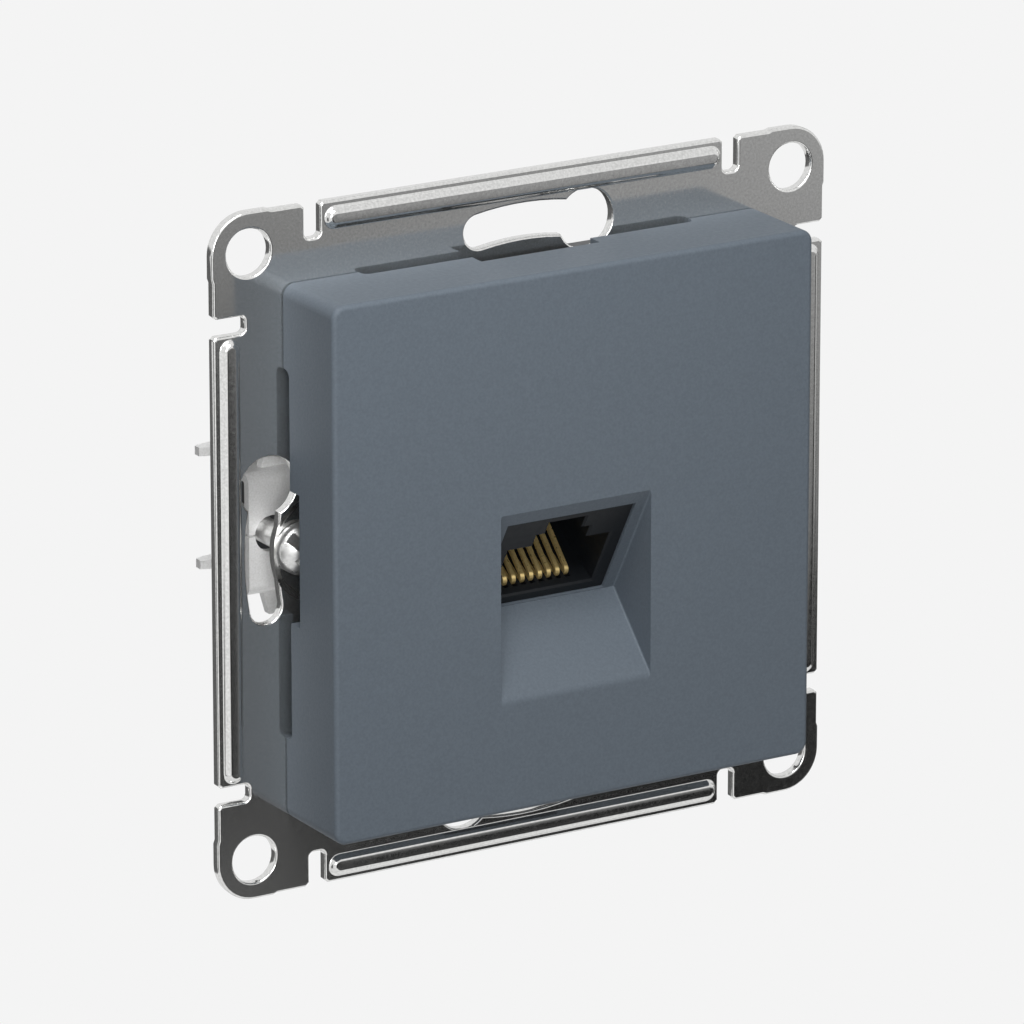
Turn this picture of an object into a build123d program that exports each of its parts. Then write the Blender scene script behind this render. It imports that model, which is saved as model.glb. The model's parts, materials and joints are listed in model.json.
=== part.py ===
from build123d import *
import os
from math import atan, cos, degrees, radians, sin, tan

# Ethernet socket insert: a steel support plate with a data jack, a cover and two claws.
# Millimetres. X is to the right, Y runs back into the wall and Z is up.
# The origin is the centre of the plate's rear face, which lies on the wall.

# Support plate
plate_thickness = 1.0
plate_corner_radius = 4.1
lug_step = 0.15
lug_length = 6.5
lug_slope = 20.0
plate_edge_chamfer = 0.25
corner_hole_inset = 4.12
corner_hole_diameter = 4.85
edge_slot_inset = 11.25
edge_slot_width = 1.8
edge_slot_depth = 3.5
edge_slot_end_radius = 0.6
edge_slot_mouth_chamfer = 0.35
bead_end_gap = 0.3
bead_widths = (2.4, 2.1, 1.5, 0.8)
bead_heights = (0, 0.08, 0.47, 0.6)
bead_inset = 1.7
groove_width = 1.9
groove_depth = 0.5

# Fixing keyholes on the circle of a wall box's screws, and the plate's margin outside it
fixing_pitch = 60.0
plate_margin = 5.25
keyhole_slot_width = 3.5
keyhole_eye_diameter = 6.2
keyhole_eye_angle = 13.7
keyhole_end_angle = 9.9

# Opening in the middle of the plate, and the holes for the carrier's pegs
window_width = 33.6
window_height = 40.0
window_radius = 2.0
peg_spacing_x = 26.0
peg_spacing_z = 46.0
peg_diameter = 3.0
peg_head_diameter = 4.6
peg_head_height = 0.9
peg_head_slope = 25.0

# Pressed seats for the claw screws
screw_offset = 25.2
seat_offset = 23.2
seat_diameter = 11.2
seat_floor_diameter = 8.9
seat_depth = 1.25
seat_floor_thickness = 0.9
seat_back_diameter = 9.2
screw_hole_diameter = 3.5

# Cover
cover_size = 55.0
cover_depth = 9.9
cover_corner_radius = 1.3
cover_edge_radius = 0.5
cover_foot_chamfer = 0.2
cover_wall = 1.6
cover_front_wall = 1.8
vent_width = 38.0
vent_depth = 1.25
vent_corner_radius = 0.8
screw_notch_width = 13.6
screw_notch_depth = 3.05
hook_offset = 11.0
hook_width = 5.0
hook_thickness = 1.4
hook_barb = 0.7
hook_barb_length = 1.3

# Slanted recess of the cover, with the jack's face in its upper side
face_tilt = 30.5
recess_width = 17.35
recess_top = 3.45
recess_bottom = -15.75
recess_slant_length = 13.9
recess_wall = 1.4
recess_lip_radius = 1.2
recess_corner_radius = 0.2

# Data jack
jack_width = 14.6
jack_height = 11.96
jack_depth = 17.0
jack_face_drop = 7.7
jack_face_recess = 0.25
jack_edge_radius = 0.2
jack_gap = 0.1
port_width = 11.76
port_height = 6.76
port_floor = 1.08
port_depth = 13.5
port_chamfer = 0.2
latch_width = 6.2
latch_height = 1.57
latch_nose_width = 4.2
latch_nose_height = 1.57

# Spring contacts of the jack
contact_count = 8
contact_pitch = 1.02
contact_width = 0.46
contact_thickness = 0.36
contact_bend_radius = 0.5
contact_front = 1.45
contact_rise_angle = 14.7
contact_reach = 9.5
contact_groove_width = 0.6
contact_groove_depth = 0.72
contact_groove_start = 1.0
contact_groove_gap = 0.08
contact_tail = 1.8

# Circuit board
board_thickness = 1.2
board_height = 17.0
board_side_gap = 0.3
board_hole_gap = 0.1

# Terminal blocks with cutting blades for the wires
block_offset = 11.5
block_width = 9.0
block_height = 16.4
block_depth = 9.0
wire_pitch = 3.9
wires_per_block = 4
wire_slot_width = 1.1
wire_slot_depth = 6.5
blade_thickness = 0.4
blade_width = 2.6
blade_length = 7.6
blade_gap_width = 0.35
blade_gap_depth = 5.0
blade_tail_width = 0.6
blade_tail_length = 2.7
blade_seat_height = 1.0
blade_clearance = 0.1
cap_thickness = 1.6
cap_overhang = 0.15
rib_thickness = 0.8
rib_depth = 2.8
rib_gap = 0.5

# Carrier of the jack, behind the plate
carrier_width = 40.6
carrier_height = 52.0
carrier_corner_radius = 3.0
flange_thickness = 1.8
fit_clearance = 0.15
tunnel_wall = 1.5
clip_width = 5.0
clip_thickness = 1.2
clip_root = 4.5
clip_barb = 0.9
clip_barb_length = 1.0
clip_gap = 0.1
cheek_thickness = 1.8
cheek_margin = 2.2
cheek_bottom = -10.0
cheek_corner = 3.0
roof_thickness = 1.5
roof_gap = 0.25
roof_overhang = 0.2
ledge_width = 1.2
ledge_length = 2.1
ledge_height = 15.0
ledge_gap = 0.3
moving_gap = 0.3

# Claws and their screws
claw_thickness = 0.9
claw_height = 12.7
claw_bend_radius = 1.2
claw_front = 5.6
claw_outer = 27.75
claw_inner = 20.9
claw_arm_inner = 21.9
claw_arm_outer = 26.1
claw_shoulder = 2.4
claw_ear_offset = 1.7
claw_ear_height = 18.0
claw_ear_reach = 25.5
claw_ear_slant = 0.9
claw_tip = 27.4
claw_end = 17.6
tooth_positions = (16.7, 13.1)
tooth_tip_width = 0.9
tooth_root_width = 1.8
claw_hole_diameter = 3.72
claw_slit_width = 0.25
screw_head_diameter = 5.3
screw_head_band = 0.65
screw_dome_height = 1.5
screw_shank_diameter = 2.6
screw_end = 15.8
screw_end_chamfer = 0.4
screw_gap = 0.1
screw_slot_width = 1.15
screw_slot_depth = 1.0
screw_cross_width = 0.95
screw_cross_length = 3.1
screw_slot_angle = 135.0

# Sizes and places worked out from the ones above
plate_size = fixing_pitch + 2 * plate_margin
plate_half = plate_size / 2
plate_front = -plate_thickness
cover_front = plate_front - cover_depth
straight_half = plate_half - lug_step
corner_hole_spacing = plate_size - 2 * corner_hole_inset
edge_slot_offset = plate_half - edge_slot_inset
bead_length = 2 * (edge_slot_offset - bead_end_gap) - edge_slot_width
seat_floor = plate_front + seat_depth + seat_floor_thickness
tilt = radians(face_tilt)
hook_face = window_height / 2 - fit_clearance
hook_middle = hook_face + (hook_barb - hook_thickness) / 2
tunnel_side = fit_clearance + tunnel_wall
port_bottom = port_floor - jack_height / 2
contact_run = port_bottom - contact_groove_depth + contact_thickness / 2 + contact_groove_gap
block_front = jack_depth + board_thickness
block_rear = block_front + block_depth
clip_inner = board_height / 2 + clip_gap
clip_foot = jack_height / 2 + fit_clearance + tunnel_wall / 2
clip_shelf = jack_depth - clip_thickness
clip_hook = block_front + clip_gap
clip_end = clip_hook + clip_barb_length
carrier_half = carrier_width / 2
cheek_inner = carrier_half - cheek_thickness
ledge_back = claw_front - ledge_gap
head_seat = plate_front + seat_depth - screw_gap
head_top = head_seat - screw_head_band - screw_dome_height
dome_radius = (screw_head_diameter**2 / 4 + screw_dome_height**2) / (2 * screw_dome_height)
recess_valley = (
    cover_front + recess_slant_length * sin(tilt),
    recess_top - recess_slant_length * cos(tilt),
)
jack_axis = Axis((0, 0, 0), (0, cos(tilt), sin(tilt)))
ramp_slope = (recess_valley[1] - recess_bottom) / (recess_valley[0] - cover_front)


def facing(y):
    """Plane across the wall at depth y, seen from the front: its normal points at the viewer."""
    return Plane.XZ.offset(-y)


def jack_point(x, forward):
    """Point level with the middle of the jack's face, this far in front of it."""
    y = cover_front + jack_face_drop * sin(tilt) + (jack_face_recess - forward) * cos(tilt)
    z = recess_top - jack_face_drop * cos(tilt) + (jack_face_recess - forward) * sin(tilt)
    return (x, y, z)


def jack_plane(forward=0.0):
    """Plane square to the jack's slanted axis: its normal points out of the jack's face."""
    normal = (0, -cos(tilt), -sin(tilt))
    return Plane(origin=jack_point(0, forward), x_dir=(1, 0, 0), z_dir=normal)


def jack_section(x):
    """Plane along the jack's axis: its own x runs into the jack and its own y up the face."""
    return Plane(origin=jack_point(x, 0), x_dir=(0, cos(tilt), sin(tilt)), z_dir=(1, 0, 0))


def cap_corner(end):
    """Depth and height of the wire caps' rear corner at their upper end, 1, or lower end, -1."""
    _, y, z = jack_point(0, -block_rear - cap_thickness)
    half = end * (block_height / 2 + cap_overhang)
    return (y - half * sin(tilt), z + half * cos(tilt))


def recess_slant_point(y):
    """Point at depth y on the slanted side of the recess."""
    return (y, recess_top - (y - cover_front) / tan(tilt))


def recess_ramp_point(y):
    """Point at depth y on the ramp below the jack."""
    return (y, recess_bottom + (y - cover_front) * ramp_slope)


def side_plane(angle, distance):
    """Plane along one side of the cover, at this distance from the centre, facing outwards."""
    outward = Vector(sin(radians(angle)), 0, cos(radians(angle)))
    along = Vector(cos(radians(angle)), 0, -sin(radians(angle)))
    return Plane(origin=Vector(0, plate_front, 0) + outward * distance, x_dir=along, z_dir=outward)


def at_slot_mouth(corner):
    """True for the outline's corners where an edge slot opens."""
    near, far = sorted((abs(corner.X), abs(corner.Y)))
    return abs(near - edge_slot_offset) < edge_slot_width and far > straight_half - lug_step


def keyhole_sketch(margin=0.0):
    """Curved slot with a round eye at its clockwise end, at the top of the fixing circle."""
    radius = fixing_pitch / 2
    slot_line = Edge.make_circle(
        radius,
        start_angle=90 - keyhole_eye_angle,
        end_angle=90 + keyhole_end_angle,
    )
    SlotArc(slot_line, keyhole_slot_width + 2 * margin)
    with Locations(radius * Vector(sin(radians(keyhole_eye_angle)), cos(radians(keyhole_eye_angle)))):
        Circle(keyhole_eye_diameter / 2 + margin)


def save(part, name):
    """Label a finished piece and write it to its file."""
    part.label = name
    export_step(part, f"parts/{name}.step")


os.makedirs("parts", exist_ok=True)


# Support plate: a pressed sheet with edge slots, corner lugs, beads and seats for the screws
with BuildPart() as support_plate:
    with BuildSketch(facing(0)) as outline:
        RectangleRounded(plate_size, plate_size, plate_corner_radius)
        with PolarLocations(0, 4):
            with Locations((0, plate_half - lug_step / 2)):
                Trapezoid(
                    plate_size - 2 * lug_length + lug_step / tan(radians(lug_slope)),
                    lug_step,
                    lug_slope,
                    rotation=180,
                    mode=Mode.SUBTRACT,
                )
            with Locations((-edge_slot_offset, straight_half), (edge_slot_offset, straight_half)):
                RectangleRounded(
                    edge_slot_width,
                    2 * edge_slot_depth,
                    edge_slot_end_radius,
                    mode=Mode.SUBTRACT,
                )
        mouths = [corner for corner in outline.vertices() if at_slot_mouth(corner)]
        chamfer(mouths, edge_slot_mouth_chamfer)
    extrude(amount=plate_thickness)
    front_face = support_plate.faces().filter_by(Plane.XZ).sort_by(Axis.Y)[0]
    chamfer(front_face.edges(), plate_edge_chamfer)

    # The seats are dished inwards, so their floors stand out behind the sheet
    for side in (-1, 1):
        seat_plane = Plane(origin=(side * seat_offset, 0, 0), x_dir=(1, 0, 0), z_dir=(0, 0, 1))
        seat_axis = Axis((side * seat_offset, 0, 0), (0, 1, 0))
        with BuildSketch(seat_plane):
            with BuildLine():
                Polyline(
                    (0, -plate_thickness / 2),
                    (seat_diameter / 2, -plate_thickness / 2),
                    (seat_diameter / 2, 0),
                    (seat_back_diameter / 2, seat_floor),
                    (0, seat_floor),
                    close=True,
                )
            make_face()
        revolve(axis=seat_axis)
        with BuildSketch(seat_plane):
            with BuildLine():
                Polyline(
                    (0, plate_front),
                    (seat_diameter / 2 + plate_edge_chamfer, plate_front),
                    (seat_diameter / 2, plate_front + plate_edge_chamfer),
                    (seat_floor_diameter / 2, plate_front + seat_depth),
                    (0, plate_front + seat_depth),
                    close=True,
                )
            make_face()
        revolve(axis=seat_axis, mode=Mode.SUBTRACT)

    # Window, keyholes, corner holes, peg holes and screw holes, some with a broken edge in front
    with BuildSketch(facing(2 * plate_thickness)):
        RectangleRounded(window_width, window_height, window_radius)
        with PolarLocations(0, 4):
            keyhole_sketch()
        with GridLocations(corner_hole_spacing, corner_hole_spacing, 2, 2):
            Circle(corner_hole_diameter / 2)
        with GridLocations(peg_spacing_x, peg_spacing_z, 2, 2):
            Circle(peg_diameter / 2 + fit_clearance)
        with Locations((-screw_offset, 0), (screw_offset, 0)):
            Circle(screw_hole_diameter / 2)
    extrude(amount=3 * plate_thickness, mode=Mode.SUBTRACT)
    with BuildSketch(facing(plate_front)):
        with PolarLocations(0, 4):
            keyhole_sketch(plate_edge_chamfer)
        with GridLocations(corner_hole_spacing, corner_hole_spacing, 2, 2):
            Circle(corner_hole_diameter / 2 + plate_edge_chamfer)
    extrude(amount=-plate_edge_chamfer, taper=45, mode=Mode.SUBTRACT)

    # Beads that stiffen the four edges, soft at the foot and at the top, each with its groove behind
    steps = list(zip(bead_widths, bead_heights))
    for (foot_width, foot_height), (top_width, top_height) in zip(steps, steps[1:]):
        step_height = top_height - foot_height
        with BuildSketch(facing(plate_front - foot_height)):
            with PolarLocations(0, 4):
                with Locations((0, straight_half - bead_inset)):
                    SlotOverall(bead_length - bead_widths[0] + foot_width, foot_width)
        extrude(amount=step_height, taper=degrees(atan((foot_width - top_width) / 2 / step_height)))
    with BuildSketch(facing(0)):
        with PolarLocations(0, 4):
            with Locations((0, straight_half - bead_inset)):
                SlotOverall(bead_length - bead_widths[0] + groove_width, groove_width)
    extrude(amount=groove_depth, mode=Mode.SUBTRACT)
save(support_plate.part, "support_plate")


# Hollow of the recess: a wedge with soft corners, flared at the lip below
with BuildPart() as recess:
    with BuildSketch(Plane.YZ):
        with BuildLine():
            flare_front = cover_front - recess_lip_radius
            flare_bottom = recess_bottom - 2 * recess_lip_radius
            Polyline(
                (flare_front, recess_top),
                (cover_front, recess_top),
                recess_valley,
                (cover_front, recess_bottom),
                (cover_front, flare_bottom),
                (flare_front, flare_bottom),
                close=True,
            )
        wedge = make_face()
        fillet(wedge.vertices().sort_by_distance((cover_front, recess_bottom))[0], recess_lip_radius)
    extrude(amount=recess_width / 2, both=True)
    corners = recess.faces().filter_by(Plane.YZ).edges()
    fillet(corners.filter_by(lambda corner: corner.center().Y > cover_front), recess_corner_radius)


# Cover: a square shell, sunk in front where the plug goes in
with BuildPart() as cover:
    with BuildSketch(facing(plate_front)):
        RectangleRounded(cover_size, cover_size, cover_corner_radius)
    extrude(amount=cover_depth)
    fillet(cover.faces().sort_by(Axis.Y)[0].edges(), cover_edge_radius)
    chamfer(cover.faces().sort_by(Axis.Y)[-1].edges(), cover_foot_chamfer)
    with BuildSketch(facing(plate_front)):
        Rectangle(cover_size - 2 * cover_wall, cover_size - 2 * cover_wall)
    extrude(amount=cover_depth - cover_front_wall, mode=Mode.SUBTRACT)

    # Walls of the recess, then the recess itself
    with BuildSketch(Plane.YZ):
        with BuildLine():
            shell_front = cover_front + cover_front_wall / 2 + recess_wall
            Polyline(
                recess_slant_point(shell_front),
                recess_valley,
                recess_ramp_point(shell_front),
                close=True,
            )
        make_face()
        offset(amount=recess_wall, kind=Kind.INTERSECTION)
    extrude(amount=recess_width / 2 + recess_wall, both=True)
    add(recess.part, mode=Mode.SUBTRACT)

    # Hole for the jack through the slanted side of the recess
    with BuildSketch(jack_plane(jack_face_recess)):
        Rectangle(jack_width + 2 * jack_gap, jack_height + 2 * jack_gap)
    extrude(amount=-cover_depth, mode=Mode.SUBTRACT)

    # Gaps along the rear edges, deeper in the middle to reach the claw screws
    for angle in (0, 90, 180, 270):
        with BuildSketch(side_plane(angle, cover_size / 2 - 2 * cover_wall)):
            RectangleRounded(vent_width, 2 * vent_depth, vent_corner_radius)
            Rectangle(screw_notch_width, 2 * screw_notch_depth)
        extrude(amount=3 * cover_wall, mode=Mode.SUBTRACT)

    # Hooks that snap behind the edges of the plate's window
    for x_side in (-1, 1):
        for z_side in (-1, 1):
            with BuildSketch(Plane.YZ.offset(x_side * hook_offset)):
                with BuildLine():
                    hook_in = z_side * (hook_face - hook_thickness)
                    hook_out = z_side * hook_face
                    hook_tip = z_side * (hook_face + hook_barb)
                    Polyline(
                        (cover_front + cover_front_wall / 2, hook_in),
                        (fit_clearance + hook_barb_length, hook_in),
                        (fit_clearance + hook_barb_length, hook_out),
                        (fit_clearance + hook_barb_length / 3, hook_tip),
                        (fit_clearance, hook_tip),
                        (fit_clearance, hook_out),
                        (cover_front + cover_front_wall / 2, hook_out),
                        close=True,
                    )
                make_face()
            extrude(amount=hook_width / 2, both=True)
save(cover.part, "cover")


# Carrier: a moulded holder behind the plate, with a slanted tunnel for the jack
with BuildPart() as carrier:
    with BuildSketch(jack_plane(-jack_depth)):
        Rectangle(jack_width + 2 * tunnel_side, jack_height + 2 * tunnel_side)
    extrude(amount=jack_depth)

    # Clips above and below that hold the circuit board against the end of the tunnel
    with BuildSketch(jack_section(0)):
        for z_side in (-1, 1):
            with BuildLine():
                Polyline(
                    (jack_depth - clip_root, z_side * clip_foot),
                    (clip_shelf, z_side * clip_foot),
                    (clip_shelf, z_side * clip_inner),
                    (clip_hook, z_side * clip_inner),
                    (clip_hook, z_side * (clip_inner - clip_barb)),
                    (clip_end, z_side * clip_inner),
                    (clip_end, z_side * (clip_inner + clip_thickness)),
                    (jack_depth - clip_root, z_side * (clip_inner + clip_thickness)),
                    close=True,
                )
            make_face()
    extrude(amount=clip_width / 2, both=True)
    split(bisect_by=facing(0), keep=Keep.BOTTOM)

    # Flange against the plate's rear face
    with BuildSketch(facing(flange_thickness)):
        RectangleRounded(carrier_width, carrier_height, carrier_corner_radius)
    extrude(amount=flange_thickness)

    # Cheeks at the sides, each with a ledge for its claw to swing about, and the roof between
    cheek_end = cap_corner(-1)[0] + cheek_margin
    cheek_top = cap_corner(1)[1] + roof_gap + roof_thickness
    roof_end = cap_corner(1)[0] + roof_overhang
    for side in (-1, 1):
        with BuildSketch(Plane.YZ.offset(side * cheek_inner)) as cheek:
            with Locations((0, cheek_bottom)):
                Rectangle(cheek_end, cheek_top - cheek_bottom, align=(Align.MIN, Align.MIN))
            fillet(cheek.vertices().group_by(Axis.X)[-1], cheek_corner)
        extrude(amount=side * cheek_thickness)
        with BuildSketch(Plane.YZ.offset(side * carrier_half)):
            with Locations((ledge_back, 0)):
                Rectangle(ledge_length, ledge_height, align=(Align.MAX, Align.CENTER))
        extrude(amount=side * ledge_width)
    with BuildSketch(facing(0)):
        with Locations((0, cheek_top)):
            Rectangle(2 * cheek_inner, roof_thickness, align=(Align.CENTER, Align.MAX))
    extrude(amount=-roof_end)

    # Room for the jack, for the backs of the screw seats and for the cover's hooks
    with BuildSketch(jack_plane(-jack_depth)):
        Rectangle(jack_width + 2 * fit_clearance, jack_height + 2 * fit_clearance)
    extrude(amount=2 * jack_depth, mode=Mode.SUBTRACT)
    with BuildSketch(facing(0)):
        with Locations((-seat_offset, 0), (seat_offset, 0)):
            Circle(seat_diameter / 2 + moving_gap)
    extrude(amount=-(seat_floor + moving_gap), mode=Mode.SUBTRACT)
    with BuildSketch(facing(0)):
        with GridLocations(2 * hook_offset, 2 * hook_middle, 2, 2):
            Rectangle(hook_width + 2 * moving_gap, hook_thickness + hook_barb + 2 * moving_gap)
    extrude(amount=-(flange_thickness + moving_gap), mode=Mode.SUBTRACT)

    # Pegs through the plate, with flattened heads in front of it
    with BuildSketch(facing(0)):
        with GridLocations(peg_spacing_x, peg_spacing_z, 2, 2):
            Circle(peg_diameter / 2)
    extrude(amount=plate_thickness)
    with BuildSketch(facing(plate_front)):
        with GridLocations(peg_spacing_x, peg_spacing_z, 2, 2):
            Circle(peg_head_diameter / 2)
    extrude(amount=peg_head_height, taper=peg_head_slope)
save(carrier.part, "carrier")


# Jack housing: a block with the stepped port for the plug and grooves for the contacts
with BuildPart() as jack_housing:
    with BuildSketch(jack_plane()):
        Rectangle(jack_width, jack_height)
    extrude(amount=-jack_depth)
    fillet(jack_housing.edges().filter_by(jack_axis), jack_edge_radius)
    with BuildSketch(jack_plane()):
        with Locations((0, port_bottom)):
            Rectangle(port_width, port_height, align=(Align.CENTER, Align.MIN))
        with Locations((0, port_bottom + port_height)):
            Rectangle(latch_width, latch_height, align=(Align.CENTER, Align.MIN))
        with Locations((0, port_bottom + port_height + latch_height)):
            Rectangle(latch_nose_width, latch_nose_height, align=(Align.CENTER, Align.MIN))
    extrude(amount=-port_depth, mode=Mode.SUBTRACT)
    jack_face = jack_housing.faces().sort_by(jack_axis)[0]
    chamfer(jack_face.inner_wires()[0].edges(), port_chamfer)
    with BuildSketch(jack_plane(-contact_groove_start)):
        with Locations((0, port_bottom - contact_groove_depth / 2)):
            with GridLocations(contact_pitch, 0, contact_count, 1):
                Rectangle(contact_groove_width, contact_groove_depth)
    extrude(amount=-jack_depth, mode=Mode.SUBTRACT)
save(jack_housing.part, "jack_housing")


# Contacts: flat springs that run forward under the port's floor and bend back up into it
for number in range(contact_count):
    contact_x = (number - (contact_count - 1) / 2) * contact_pitch
    bend_x = contact_front + contact_thickness / 2 + contact_bend_radius
    with BuildPart() as contact:
        with BuildLine(jack_section(contact_x)) as wire_path:
            run = Line((jack_depth + contact_tail, contact_run), (bend_x, contact_run))
            bend = CenterArc(
                (bend_x, contact_run + contact_bend_radius),
                contact_bend_radius,
                270,
                contact_rise_angle - 180,
            )
            PolarLine(bend @ 1, contact_reach, direction=bend % 1, length_mode=LengthMode.DIAGONAL)
        with BuildSketch(Plane(origin=run @ 0, x_dir=(1, 0, 0), z_dir=run % 0)):
            Rectangle(contact_width, contact_thickness)
        sweep(path=wire_path.line)
    save(contact.part, f"contact_{number + 1}")


# Circuit board: it carries the jack in front and the terminal blocks behind
with BuildPart() as circuit_board:
    with BuildSketch(jack_plane(-jack_depth)):
        Rectangle(2 * (cheek_inner - board_side_gap), board_height)
        with Locations((0, contact_run)):
            with GridLocations(contact_pitch, 0, contact_count, 1):
                Rectangle(
                    contact_width + 2 * board_hole_gap,
                    contact_thickness + 2 * board_hole_gap,
                    mode=Mode.SUBTRACT,
                )
        with GridLocations(2 * block_offset, wire_pitch, 2, wires_per_block):
            Rectangle(
                blade_thickness + 2 * board_hole_gap,
                blade_tail_width + 2 * board_hole_gap,
                mode=Mode.SUBTRACT,
            )
    extrude(amount=-board_thickness)
save(circuit_board.part, "circuit_board")


# Terminal blocks, their cutting blades and their caps, on both sides of the board
for side, side_name in ((-1, "left"), (1, "right")):
    with BuildPart() as terminal_block:
        with BuildSketch(jack_plane(-block_front)):
            with Locations((side * block_offset, 0)):
                Rectangle(block_width, block_height)
        extrude(amount=-block_depth)
        with BuildSketch(jack_plane(-block_rear)):
            with Locations((side * block_offset, 0)):
                with GridLocations(0, wire_pitch, 1, wires_per_block):
                    Rectangle(2 * block_width, wire_slot_width)
        extrude(amount=wire_slot_depth, mode=Mode.SUBTRACT)
        with BuildSketch(jack_plane(-block_rear)):
            with Locations((side * block_offset, 0)):
                with GridLocations(0, wire_pitch, 1, wires_per_block):
                    Rectangle(blade_thickness + 2 * blade_clearance, blade_width + 2 * blade_clearance)
        extrude(amount=block_depth - blade_seat_height, mode=Mode.SUBTRACT)
        with BuildSketch(jack_plane(-block_rear)):
            with Locations((side * block_offset, 0)):
                with GridLocations(0, wire_pitch, 1, wires_per_block):
                    Rectangle(blade_thickness + 2 * blade_clearance, blade_tail_width + 2 * blade_clearance)
        extrude(amount=block_depth, mode=Mode.SUBTRACT)
    save(terminal_block.part, f"terminal_block_{side_name}")

    blade_foot = block_front + blade_seat_height
    for number in range(wires_per_block):
        wire_z = (number - (wires_per_block - 1) / 2) * wire_pitch
        with BuildPart() as blade:
            with BuildSketch(jack_section(side * block_offset)):
                with Locations((blade_foot, wire_z)):
                    Rectangle(blade_length, blade_width, align=(Align.MIN, Align.CENTER))
                    Rectangle(blade_tail_length, blade_tail_width, align=(Align.MAX, Align.CENTER))
                with Locations((blade_foot + blade_length, wire_z)):
                    Rectangle(
                        blade_gap_depth,
                        blade_gap_width,
                        align=(Align.MAX, Align.CENTER),
                        mode=Mode.SUBTRACT,
                    )
                    Rectangle(blade_width / 3, blade_width / 3, rotation=45, mode=Mode.SUBTRACT)
            extrude(amount=blade_thickness / 2, both=True)
        save(blade.part, f"terminal_blade_{side_name}_{number + 1}")

    with BuildPart() as wire_cap:
        with BuildSketch(jack_plane(-block_rear)):
            with Locations((side * block_offset, 0)):
                Rectangle(block_width + 2 * cap_overhang, block_height + 2 * cap_overhang)
        extrude(amount=-cap_thickness)
        fillet(wire_cap.faces().sort_by(jack_axis)[-1].edges(), cap_thickness / 3)
        rib_length = (block_width - blade_thickness) / 2 - rib_gap
        rib_offset = (block_width - rib_length) / 2
        with BuildSketch(jack_plane(-block_rear)):
            with Locations((side * block_offset, 0)):
                with GridLocations(2 * rib_offset, wire_pitch, 2, wires_per_block):
                    Rectangle(rib_length, rib_thickness)
        extrude(amount=rib_depth)
    save(wire_cap.part, f"wire_cap_{side_name}")


# Claws: bent from sheet, with a tapped web and two toothed arms
with BuildPart() as claw_right:
    with BuildSketch(Plane.YZ.offset(claw_inner)) as channel:
        with Locations((claw_front, 0)):
            Rectangle(claw_end - claw_front, claw_height, align=(Align.MIN, Align.CENTER))
        fillet(channel.vertices().group_by(Axis.X)[0], claw_bend_radius)
    extrude(amount=claw_outer - claw_inner)
    with BuildSketch(Plane.YZ.offset(claw_inner)) as channel_inside:
        with Locations((claw_front + claw_thickness, 0)):
            Rectangle(claw_end, claw_height - 2 * claw_thickness, align=(Align.MIN, Align.CENTER))
        fillet(channel_inside.vertices().group_by(Axis.X)[0], claw_bend_radius - claw_thickness)
    extrude(amount=claw_outer - claw_inner, mode=Mode.SUBTRACT)
    with BuildSketch(Plane.XY):
        with BuildLine():
            Polyline(
                (claw_inner, claw_front),
                (claw_outer, claw_front),
                (claw_outer, claw_front + claw_shoulder),
                (claw_arm_outer, claw_front + 2 * claw_shoulder),
                (claw_arm_outer, claw_end),
                (claw_arm_inner, claw_end),
                (claw_arm_inner, claw_front + 2 * claw_shoulder),
                (claw_inner, claw_front + claw_shoulder),
                close=True,
            )
        make_face()
        for tooth_y in tooth_positions:
            with BuildLine():
                Polyline(
                    (claw_arm_outer - tooth_tip_width, tooth_y - tooth_root_width / 2),
                    (claw_arm_outer, tooth_y - tooth_root_width / 2),
                    (claw_tip, tooth_y - tooth_tip_width / 2),
                    (claw_tip, tooth_y + tooth_tip_width / 2),
                    (claw_arm_outer, tooth_y + tooth_root_width / 2),
                    (claw_arm_outer - tooth_tip_width, tooth_y + tooth_root_width / 2),
                    close=True,
                )
            make_face()
    extrude(amount=claw_height, both=True, mode=Mode.INTERSECT)

    # Ears that keep the claw level against the carrier's ledge
    with BuildSketch(facing(claw_front + claw_ear_offset + claw_thickness)):
        for z_side in (-1, 1):
            with BuildLine():
                Polyline(
                    (claw_inner, z_side * (claw_height / 2 - claw_thickness / 2)),
                    (claw_ear_reach, z_side * (claw_height / 2 - claw_thickness / 2)),
                    (claw_ear_reach - claw_ear_slant, z_side * claw_ear_height / 2),
                    (claw_inner, z_side * claw_ear_height / 2),
                    close=True,
                )
            make_face()
    extrude(amount=claw_thickness)

    # Tapped hole, open to the edge of the web through a slit
    with BuildSketch(facing(claw_front)):
        with Locations((screw_offset, 0)):
            Circle(claw_hole_diameter / 2)
            Rectangle(claw_outer, claw_slit_width, align=(Align.MIN, Align.CENTER))
    extrude(amount=-claw_thickness, mode=Mode.SUBTRACT)
save(claw_right.part, "claw_right")

with BuildPart() as claw_left:
    mirror(claw_right.part, about=Plane.YZ)
save(claw_left.part, "claw_left")


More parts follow.
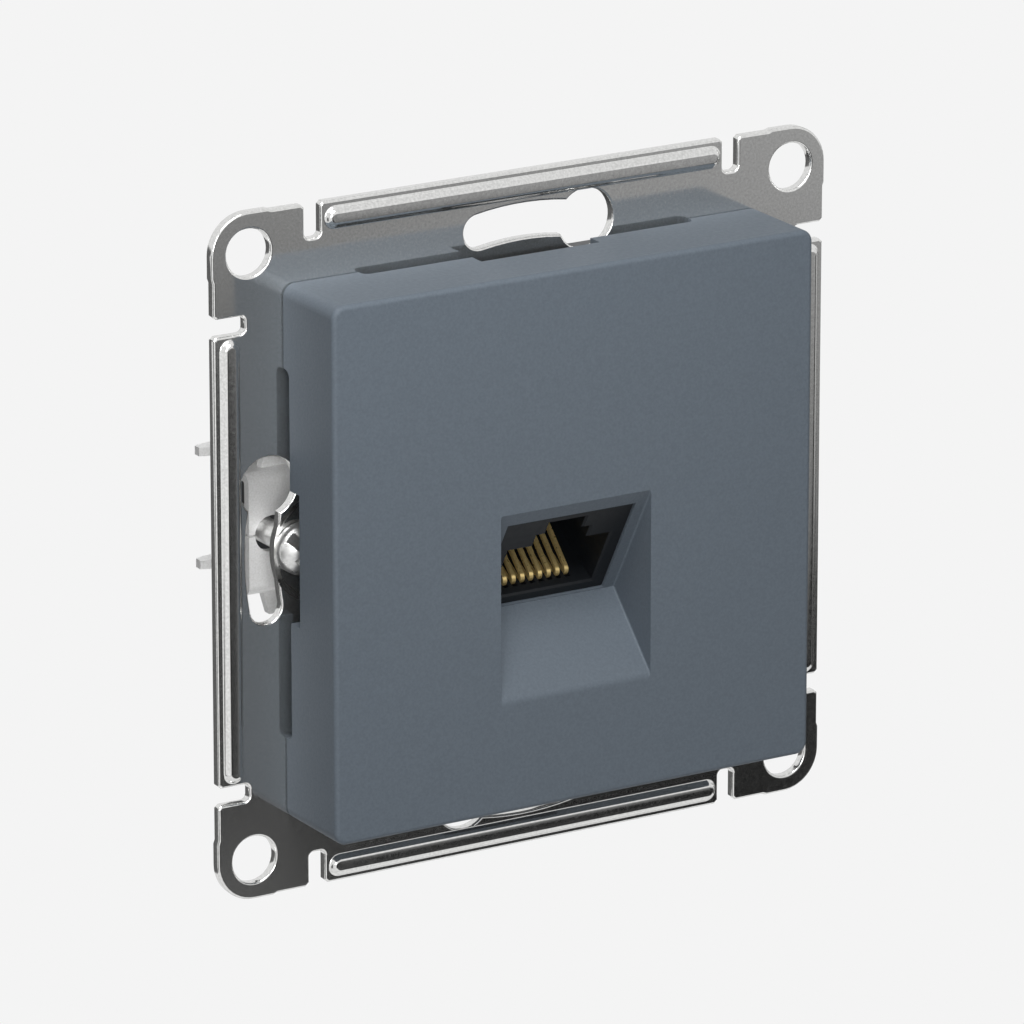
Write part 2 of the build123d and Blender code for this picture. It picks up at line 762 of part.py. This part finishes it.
# Claw screws: domed heads with a long and a short slot, and shanks through the claws
for side, side_name in ((-1, "left"), (1, "right")):
    screw_plane = Plane(origin=(side * screw_offset, 0, 0), x_dir=(1, 0, 0), z_dir=(0, 0, 1))
    with BuildPart() as claw_screw:
        with BuildSketch(screw_plane):
            with BuildLine():
                Polyline(
                    (0, head_top),
                    (0, screw_end),
                    (screw_shank_diameter / 2 - screw_end_chamfer, screw_end),
                    (screw_shank_diameter / 2, screw_end - screw_end_chamfer),
                    (screw_shank_diameter / 2, head_seat),
                    (screw_head_diameter / 2, head_seat),
                    (screw_head_diameter / 2, head_seat - screw_head_band),
                )
                RadiusArc(
                    (screw_head_diameter / 2, head_seat - screw_head_band),
                    (0, head_top),
                    dome_radius,
                )
            make_face()
        revolve(axis=Axis((side * screw_offset, 0, 0), (0, 1, 0)))
        with BuildSketch(facing(head_top)):
            with Locations((side * screw_offset, 0)):
                Rectangle(2 * screw_head_diameter, screw_slot_width, rotation=screw_slot_angle)
                Rectangle(screw_cross_length, screw_cross_width, rotation=screw_slot_angle - 90)
        extrude(amount=-screw_slot_depth, mode=Mode.SUBTRACT)
    save(claw_screw.part, f"claw_screw_{side_name}")
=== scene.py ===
import json
from math import cos, pi, radians, sin

import bmesh
import bpy
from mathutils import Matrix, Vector

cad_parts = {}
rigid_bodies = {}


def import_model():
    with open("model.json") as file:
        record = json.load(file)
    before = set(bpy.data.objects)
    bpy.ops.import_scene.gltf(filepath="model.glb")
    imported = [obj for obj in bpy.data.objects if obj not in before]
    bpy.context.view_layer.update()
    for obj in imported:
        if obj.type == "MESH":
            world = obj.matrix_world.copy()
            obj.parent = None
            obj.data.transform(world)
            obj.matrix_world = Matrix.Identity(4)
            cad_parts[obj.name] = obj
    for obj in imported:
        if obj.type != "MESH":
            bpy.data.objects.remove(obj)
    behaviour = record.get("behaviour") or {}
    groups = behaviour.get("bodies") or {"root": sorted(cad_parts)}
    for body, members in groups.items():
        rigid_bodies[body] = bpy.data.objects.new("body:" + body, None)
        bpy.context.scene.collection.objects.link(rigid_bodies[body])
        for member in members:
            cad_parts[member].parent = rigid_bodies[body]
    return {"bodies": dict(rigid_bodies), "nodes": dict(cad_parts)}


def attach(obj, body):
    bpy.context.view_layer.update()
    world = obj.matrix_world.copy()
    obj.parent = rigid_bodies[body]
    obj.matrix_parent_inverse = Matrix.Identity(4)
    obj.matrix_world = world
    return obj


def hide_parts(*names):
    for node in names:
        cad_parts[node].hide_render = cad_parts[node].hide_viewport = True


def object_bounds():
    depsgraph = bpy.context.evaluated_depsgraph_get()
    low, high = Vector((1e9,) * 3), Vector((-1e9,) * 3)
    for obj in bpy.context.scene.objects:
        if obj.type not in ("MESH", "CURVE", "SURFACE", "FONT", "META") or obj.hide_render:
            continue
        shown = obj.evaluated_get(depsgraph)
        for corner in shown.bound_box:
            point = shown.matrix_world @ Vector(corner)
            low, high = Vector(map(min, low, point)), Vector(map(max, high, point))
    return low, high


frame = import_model()
nodes = frame["nodes"]
cad_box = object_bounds()

# Camera: as the photograph was taken, from the left and above, with a long lens. Angles are in
# degrees, the lens and the sensor in millimetres, and all other lengths here in metres
CAMERA_HEADING = 31.02
CAMERA_DOWN = 17.47
CAMERA_DISTANCE = 0.8337
CAMERA_AIM = Vector((-0.00087, 0.0, -0.00026))
CAMERA_LENS = 294.2
CAMERA_SENSOR = 36
CAMERA_NEAR = 0.01
CAMERA_FAR = 50

# Room: a pale floor below the part, and weak light from all round
FLOOR_DROP = 0.22
FLOOR_SIZE = 12.0
FLOOR_COLOUR = (0.8, 0.8, 0.8, 1)
FLOOR_ROUGHNESS = 0.9
BACKGROUND_COLOUR = (0.905, 0.905, 0.905, 1)
WORLD_STRENGTH = 0.1

# Square soft boxes turned to the part's origin: name, place, side and power in watts
LAMPS = (
    ("key", (-0.062, -0.13, 0.194), 0.14, 0.54),
    ("front fill", (-0.43, -0.77, 0.17), 0.3, 2.55),
    ("back fill", (0.25, 0.75, -0.05), 0.3, 2.5),
)

# Glowing cards that only mirror rays see, which paint reflections and highlights on the metal: their
# distance, and how much of each half stays full before the card fades out towards its edges
CARD_DISTANCE = 0.45
CARD_FULL_SHARE = 0.7

# Ramps of light on the cards, each as start, end, first value and last value, along the card's x or y
GREY_HEIGHT = (0.0, 0.07, 0.18, 0.33)
GREY_SIDE_SLOPE = -1.2
GREY_EDGE = (-0.033, -0.023, 0.0, 1.0)
GREY_EDGE_SLANT = 0.47
BAND_SIDE = (0.03, 0.036, 0.0, 0.8)
BAND_HEIGHT = (0.022, 0.03, 1.0, 0.0)
DARK_SIDE = (0.02, 0.045, 0.0, 0.075)
DARK_FOOT = (-0.045, -0.065, 0.0, 0.03)
RIGHT_HEIGHT = (-0.005, 0.015, 0.03, 0.45)

# Noise: its middle range, and its detail in the specks and in the surface of metal
NOISE_RANGE = (0.3, 0.7)
SPECK_DETAIL = 2
METAL_DETAIL = 3

# Specks: the darkest and lightest shade, and how far the roughness goes down and up
PLASTIC_SHADES = (0.93, 1.07)
PLASTIC_GLOSS = (-0.05, 0.05)
PLASTIC_IOR = 1.46
METAL_SHADES = (0.88, 1.08)
METAL_GLOSS = (-0.03, 0.04)

# Pieces whose shading runs softly over their bends, up to the soft angle
SOFT_NODES = ("support_plate", "carrier", "claw", "contact")
SOFT_ANGLE = radians(50)
FLAT_ANGLE = radians(0.3)
WELD_DISTANCE = 0.000001

# The carrier's cheeks end below and in front of this slanted line
CHEEK_CUT_START = Vector((0, 0.0142, 0.0205))
CHEEK_CUT_END = Vector((0, 0.02448, 0.011))


def new_object(name, data):
    """An object that shows the data, linked to the scene."""
    piece = bpy.data.objects.new(name, data)
    bpy.context.scene.collection.objects.link(piece)
    return piece


def node_tree(name):
    """A new material, with its nodes and its main shader."""
    material = bpy.data.materials.new(name)
    material.use_nodes = True
    tree = material.node_tree
    return material, tree, tree.nodes["Principled BSDF"]


def maths(tree, operation, first, second):
    """Result of one sum on two values, each a number or another node's output."""
    node = tree.nodes.new("ShaderNodeMath")
    node.operation = operation
    for socket, value in zip(node.inputs, (first, second)):
        if isinstance(value, (int, float)):
            socket.default_value = value
        else:
            tree.links.new(value, socket)
    return node.outputs[0]


def inverse(tree, value):
    """One less the value."""
    return maths(tree, "SUBTRACT", 1.0, value)


def ramp(tree, value, start, end, low, high, course="SMOOTHSTEP"):
    """Value that runs from low to high while the input runs from start to end."""
    ranged = tree.nodes.new("ShaderNodeMapRange")
    ranged.interpolation_type = course
    limits = {"From Min": start, "From Max": end, "To Min": low, "To Max": high}
    for socket, limit in limits.items():
        ranged.inputs[socket].default_value = limit
    tree.links.new(value, ranged.inputs["Value"])
    return ranged.outputs["Result"]


def noise(tree, scale, detail):
    """Noise in the object's own space, in waves of about 1 / scale metres."""
    place = tree.nodes.new("ShaderNodeTexCoord")
    texture = tree.nodes.new("ShaderNodeTexNoise")
    texture.inputs["Scale"].default_value = scale
    texture.inputs["Detail"].default_value = detail
    tree.links.new(place.outputs["Object"], texture.inputs["Vector"])
    return texture.outputs["Fac"]


def spread(tree, value, low, high):
    """The noise's middle range, stretched to run from low to high."""
    return ramp(tree, value, *NOISE_RANGE, low, high, course="LINEAR")


def two_colours(tree, factor, first, second):
    """Colour that runs from first to second with the factor."""
    mix = tree.nodes.new("ShaderNodeMix")
    mix.data_type = "RGBA"
    mix.inputs["A"].default_value = (*first, 1)
    mix.inputs["B"].default_value = (*second, 1)
    tree.links.new(factor, mix.inputs["Factor"])
    return mix.outputs["Result"]


def bump(tree, shader, height, distance):
    """Raise the surface by the height, at most this distance in metres."""
    raised = tree.nodes.new("ShaderNodeBump")
    raised.inputs["Distance"].default_value = distance
    raised.inputs["Strength"].default_value = 1.0
    tree.links.new(height, raised.inputs["Height"])
    tree.links.new(raised.outputs["Normal"], shader.inputs["Normal"])


def speckled(name, colour, roughness, grain, shades, gloss):
    """A material with fine specks in its colour and in its gloss."""
    material, tree, shader = node_tree(name)
    darker, lighter = (tuple(min(1.0, shade * c) for c in colour) for shade in shades)
    specks = spread(tree, noise(tree, grain, SPECK_DETAIL), 0, 1)
    tree.links.new(two_colours(tree, specks, darker, lighter), shader.inputs["Base Color"])
    coarser = noise(tree, grain / 2, SPECK_DETAIL)
    sheen = spread(tree, coarser, roughness + gloss[0], roughness + gloss[1])
    tree.links.new(sheen, shader.inputs["Roughness"])
    return material, tree, shader


def grained_plastic(name, colour, roughness, grain, depth, specular=0.5):
    """Moulded plastic with a fine eroded grain."""
    material, tree, shader = speckled(name, colour, roughness, grain, PLASTIC_SHADES, PLASTIC_GLOSS)
    shader.inputs["IOR"].default_value = PLASTIC_IOR
    shader.inputs["Specular IOR Level"].default_value = specular
    bump(tree, shader, noise(tree, grain, SPECK_DETAIL), depth)
    return material


def plated_metal(name, colour, roughness, grain, depth, metallic=1.0):
    """Plated sheet or wire: a mirror, or a satin surface, with a fine speckle."""
    material, tree, shader = speckled(name, colour, roughness, grain, METAL_SHADES, METAL_GLOSS)
    shader.inputs["Metallic"].default_value = metallic
    bump(tree, shader, noise(tree, grain, METAL_DETAIL), depth)
    return material


# Each finish: name, colour, roughness, grain in waves per metre, its depth in metres, and last the
# specular level of a plastic, or how metallic a metal is
COVER = grained_plastic("cover plastic", (0.114, 0.1375, 0.164), 0.55, 4000, 0.00002, 0.3)
HOLDER = grained_plastic("holder plastic", (0.035, 0.037, 0.04), 0.45, 2500, 0.00001)
JACK = grained_plastic("jack plastic", (0.008, 0.0095, 0.0115), 0.45, 3500, 0.000006, 0.3)
TERMINAL = grained_plastic("terminal plastic", (0.06, 0.065, 0.07), 0.45, 2500, 0.00001)
CAP = grained_plastic("cap plastic", (0.6, 0.6, 0.58), 0.45, 2500, 0.00001)
BOARD = grained_plastic("circuit board", (0.012, 0.08, 0.035), 0.3, 900, 0.000006)
PLATE = plated_metal("plate steel", (0.75, 0.75, 0.74), 0.1, 4000, 0.0000002, 0.95)
# The claw's near-white, hardly metallic colour is lighter than plated steel is, to brighten it in the shade
# behind the plate: painted light
CLAW = plated_metal("claw steel", (0.98, 0.98, 0.97), 0.35, 5000, 0.0000006, 0.15)
SCREW = plated_metal("screw steel", (0.76, 0.76, 0.75), 0.3, 3000, 0.0000002, 0.85)
GOLD = plated_metal("contact gold", (0.92, 0.7, 0.3), 0.3, 5000, 0.0000006, 0.65)
BLADE = plated_metal("tinned bronze", (0.72, 0.7, 0.65), 0.25, 3000, 0.000001)

MATERIAL_BY_NODE = {
    "support_plate": PLATE,
    "cover": COVER,
    "carrier": HOLDER,
    "jack_housing": JACK,
    "circuit_board": BOARD,
    "contact": GOLD,
    "terminal_block": TERMINAL,
    "terminal_blade": BLADE,
    "wire_cap": CAP,
    "claw_screw": SCREW,
    "claw": CLAW,
}


def dress(name, piece):
    """Give a node the material of the longest entry that its name starts with."""
    keys = [key for key in MATERIAL_BY_NODE if name.startswith(key)]
    piece.data.materials.clear()
    piece.data.materials.append(MATERIAL_BY_NODE[max(keys, key=len)])


def flat_areas(shape):
    """The area of the flat stretch that each face is a part of, in face order."""
    shape.faces.index_update()
    areas = [0.0] * len(shape.faces)
    for start in shape.faces:
        if areas[start.index]:
            continue
        found = {start.index}
        flat = [start]
        for face in flat:
            for other in (other for edge in face.edges for other in edge.link_faces):
                if other.index not in found and other.normal.angle(face.normal, pi) < FLAT_ANGLE:
                    found.add(other.index)
                    flat.append(other)
        area = sum(face.calc_area() for face in flat)
        for face in flat:
            areas[face.index] = area
    return areas


def soft_normals(shape):
    """A normal for each face corner, shared over soft edges, where the larger flat keeps its own."""
    areas = flat_areas(shape)
    largest = max(areas)
    normals = []
    for face in shape.faces:
        for loop in face.loops:
            total = Vector()
            for other in loop.vert.link_faces:
                if other.normal.angle(face.normal, pi) < SOFT_ANGLE:
                    total += areas[other.index] / largest * other.normal
            normals.append(total.normalized() if total.length > 0 else face.normal.copy())
    return normals


def trim_cheeks(shape):
    """Cut the cheeks' upper rear corners off along the slanted line, and close the cuts."""
    along = CHEEK_CUT_END - CHEEK_CUT_START
    cut = bmesh.ops.bisect_plane(
        shape,
        geom=[*shape.verts, *shape.edges, *shape.faces],
        plane_co=CHEEK_CUT_START,
        plane_no=Vector((0, -along.z, along.y)),
        clear_outer=True,
    )
    rim = [edge for edge in cut["geom_cut"] if isinstance(edge, bmesh.types.BMEdge)]
    bmesh.ops.holes_fill(shape, edges=rim)


def softened(name):
    """A copy that stands for a node, welded, with its shading rounded over all but its sharp edges."""
    solid = nodes[name]
    mesh = solid.data.copy()
    mesh.attributes.remove(mesh.attributes["custom_normal"])
    shape = bmesh.new()
    shape.from_mesh(mesh)
    bmesh.ops.remove_doubles(shape, verts=shape.verts, dist=WELD_DISTANCE)
    bmesh.ops.dissolve_degenerate(shape, edges=shape.edges, dist=WELD_DISTANCE)
    if name == "carrier":
        trim_cheeks(shape)
    shape.normal_update()
    for face in shape.faces:
        face.smooth = True
    for edge in shape.edges:
        edge.smooth = edge.calc_face_angle(0) < SOFT_ANGLE
    normals = soft_normals(shape)
    shape.to_mesh(mesh)
    shape.free()
    mesh.normals_split_custom_set(normals)
    piece = new_object(name + "_surface", mesh)
    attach(piece, next(body for body, empty in frame["bodies"].items() if solid.parent is empty))
    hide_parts(name)
    dress(name, piece)


for name, piece in nodes.items():
    dress(name, piece)
    if name.startswith(SOFT_NODES):
        softened(name)


def camera():
    """The photograph's camera, at its distance from the point it aims at."""
    heading = radians(CAMERA_HEADING)
    down = radians(CAMERA_DOWN)
    forward = Vector((sin(heading) * cos(down), cos(heading) * cos(down), -sin(down)))
    lens = bpy.data.cameras.new("camera")
    lens.lens = CAMERA_LENS
    lens.sensor_width = CAMERA_SENSOR
    lens.clip_start = CAMERA_NEAR
    lens.clip_end = CAMERA_FAR
    body = new_object("camera", lens)
    body.location = CAMERA_AIM - CAMERA_DISTANCE * forward
    body.rotation_euler = (radians(90 - CAMERA_DOWN), 0, -heading)
    bpy.context.scene.camera = body


def lamp(name, place, side, power):
    """Square soft box at a place, turned to the part's origin."""
    light = bpy.data.lights.new(name, "AREA")
    light.shape = "SQUARE"
    light.size = side
    light.energy = power
    body = new_object(name, light)
    body.location = place
    body.rotation_euler = (-Vector(place)).to_track_quat("-Z", "Y").to_euler()


def background_mix(tree, lit, plain):
    """The plain shader where the camera, a mirror or glass looks, and the lit one elsewhere."""
    path = tree.nodes.new("ShaderNodeLightPath")
    seen = path.outputs["Is Camera Ray"]
    for output in ("Is Glossy Ray", "Is Transmission Ray"):
        seen = maths(tree, "MAXIMUM", seen, path.outputs[output])
    mix = tree.nodes.new("ShaderNodeMixShader")
    tree.links.new(seen, mix.inputs["Fac"])
    tree.links.new(lit, mix.inputs[1])
    tree.links.new(plain, mix.inputs[2])
    return mix.outputs[0]


def world():
    """Weak white light from all round, behind a background of one plain colour."""
    room = bpy.data.worlds.new("room")
    bpy.context.scene.world = room
    room.use_nodes = True
    tree = room.node_tree
    lit = tree.nodes["Background"]
    lit.inputs["Color"].default_value = (1, 1, 1, 1)
    lit.inputs["Strength"].default_value = WORLD_STRENGTH
    plain = tree.nodes.new("ShaderNodeBackground")
    plain.inputs["Color"].default_value = BACKGROUND_COLOUR
    plain.inputs["Strength"].default_value = 1.0
    shown = background_mix(tree, lit.outputs[0], plain.outputs[0])
    tree.links.new(shown, tree.nodes["World Output"].inputs["Surface"])


def rectangle(name, width, height, level=0):
    """Mesh of one rectangle that faces up, centred on the z axis at this level."""
    x, y = width / 2, height / 2
    corners = [(-x, -y, level), (x, -y, level), (x, y, level), (-x, y, level)]
    mesh = bpy.data.meshes.new(name)
    mesh.from_pydata(corners, [], [(0, 1, 2, 3)])
    return mesh


def floor():
    """Floor that gives light back to the part and looks like the background."""
    mesh = rectangle("floor", FLOOR_SIZE, FLOOR_SIZE, cad_box[0][2] - FLOOR_DROP)
    piece = new_object("floor", mesh)
    material, tree, shader = node_tree("floor")
    shader.inputs["Base Color"].default_value = FLOOR_COLOUR
    shader.inputs["Roughness"].default_value = FLOOR_ROUGHNESS
    plain = tree.nodes.new("ShaderNodeEmission")
    plain.inputs["Color"].default_value = BACKGROUND_COLOUR
    shown = background_mix(tree, shader.outputs[0], plain.outputs[0])
    tree.links.new(shown, tree.nodes["Material Output"].inputs["Surface"])
    mesh.materials.append(material)


def card(name, direction, width, height, tone):
    """Glowing card that faces the part, seen by mirror rays alone, which paints a reflection on the metal;
    its tone is a number or is made from x and y.
    """
    middle = CARD_DISTANCE * Vector(direction).normalized()
    mesh = rectangle(name, width, height)
    piece = new_object(name, mesh)
    piece.location = middle
    piece.rotation_euler = (-middle).to_track_quat("Z", "Y").to_euler()
    piece.visible_camera = False
    piece.visible_diffuse = False
    piece.visible_shadow = False
    piece.visible_transmission = False

    material = bpy.data.materials.new(name)
    material.use_nodes = True
    material.cycles.emission_sampling = "NONE"
    tree = material.node_tree
    tree.nodes.clear()
    place = tree.nodes.new("ShaderNodeTexCoord")
    split = tree.nodes.new("ShaderNodeSeparateXYZ")
    tree.links.new(place.outputs["Object"], split.inputs[0])
    x, y = split.outputs["X"], split.outputs["Y"]
    glow = tree.nodes.new("ShaderNodeEmission")
    if callable(tone):
        tree.links.new(tone(tree, x, y), glow.inputs["Strength"])
    else:
        glow.inputs["Strength"].default_value = tone

    fades = []
    for along, half in ((x, width / 2), (y, height / 2)):
        from_middle = maths(tree, "ABSOLUTE", along, 0.0)
        fades.append(ramp(tree, from_middle, CARD_FULL_SHARE * half, half, 1, 0))
    mix = tree.nodes.new("ShaderNodeMixShader")
    clear = tree.nodes.new("ShaderNodeBsdfTransparent")
    tree.links.new(maths(tree, "MULTIPLY", *fades), mix.inputs["Fac"])
    tree.links.new(clear.outputs[0], mix.inputs[1])
    tree.links.new(glow.outputs[0], mix.inputs[2])
    output = tree.nodes.new("ShaderNodeOutputMaterial")
    tree.links.new(mix.outputs[0], output.inputs["Surface"])
    mesh.materials.append(material)


def grey_tone(tree, x, y):
    """Painted reflection for the plate: mid grey above a slanted edge, lighter at the top and dark in a
    band, and nearly black below it.
    """
    slanted = maths(tree, "ADD", y, maths(tree, "MULTIPLY", x, GREY_EDGE_SLANT))
    edge = ramp(tree, slanted, *GREY_EDGE)
    grey = maths(tree, "ADD", ramp(tree, y, *GREY_HEIGHT), maths(tree, "MULTIPLY", x, GREY_SIDE_SLOPE))
    band = maths(tree, "MULTIPLY", ramp(tree, x, *BAND_SIDE), ramp(tree, y, *BAND_HEIGHT))
    grey = maths(tree, "MULTIPLY", grey, inverse(tree, band))
    dark = maths(tree, "ADD", ramp(tree, x, *DARK_SIDE), ramp(tree, y, *DARK_FOOT))
    above = maths(tree, "MULTIPLY", grey, edge)
    below = maths(tree, "MULTIPLY", dark, inverse(tree, edge))
    return maths(tree, "ADD", above, below)


def right_tone(tree, x, y):
    """Painted reflection: grey above the middle and nearly black below it."""
    return ramp(tree, y, *RIGHT_HEIGHT)


# Glowing cards, seen only in mirror reflections, that paint reflections and highlights on the metal: name,
# direction from the part, width, height, and the tone of the light
CARDS = (
    ("grey card", (0.491, -0.818, -0.301), 0.8, 0.3, grey_tone),
    ("dark card", (-0.491, 0.818, -0.301), 0.6, 0.4, 0.12),
    # The two white cards below paint white highlights on the bevelled edges and the screw heads
    ("left highlight card", (-0.65, -0.7, -0.3), 0.4, 0.25, 0.95),
    ("far left card", (-0.97, -0.15, -0.3), 0.26, 0.3, 0.12),
    ("right card", (0.88, 0.25, -0.3), 0.62, 0.3, right_tone),
    ("top highlight card", (0.48, -0.5, 0.72), 0.3, 0.26, 0.85),
)

camera()
world()
floor()
for values in LAMPS:
    lamp(*values)
for values in CARDS:
    card(*values)

bpy.context.scene.view_settings.view_transform = "Standard"
